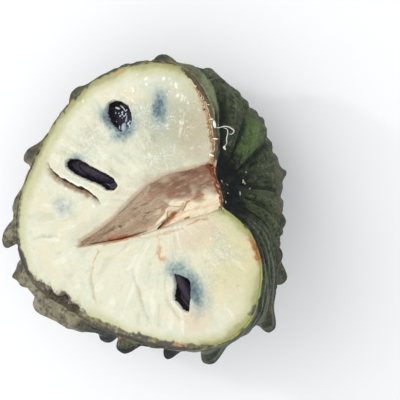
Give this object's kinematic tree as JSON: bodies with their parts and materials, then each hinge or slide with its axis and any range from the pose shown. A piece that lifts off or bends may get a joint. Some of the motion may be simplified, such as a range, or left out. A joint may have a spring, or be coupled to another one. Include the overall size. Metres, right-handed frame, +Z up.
{
  "type": "custard apple half",
  "caption": "Half of a custard apple cut lengthwise, heart-shaped cut face up, with a knobbly hooked rind, white flesh, sunken woody core and dark seeds.",
  "frame": {"origin": "middle of the bounding box in plan, on the surface the half rests on", "axes": "+Z up, the cut face looks up and leans towards -X and +Y, and the stem end points to +X"},
  "size_m": [0.112, 0.113, 0.0768],
  "materials": {
    "rind": "matte, waxy green-brown skin with dark tips",
    "flesh": "wet, creamy white pulp",
    "core": "fibrous, pinkish tan",
    "seed": "glossy black-brown seed coat"
  },
  "bodies": {
    "root": {"rind": "rind", "flesh": "flesh", "core": "core", "seed_upper": "seed", "seed_middle": "seed", "seed_lower": "seed", "seed_veiled_upper": "seed", "seed_veiled_left": "seed"}
  },
  "joints": []
}
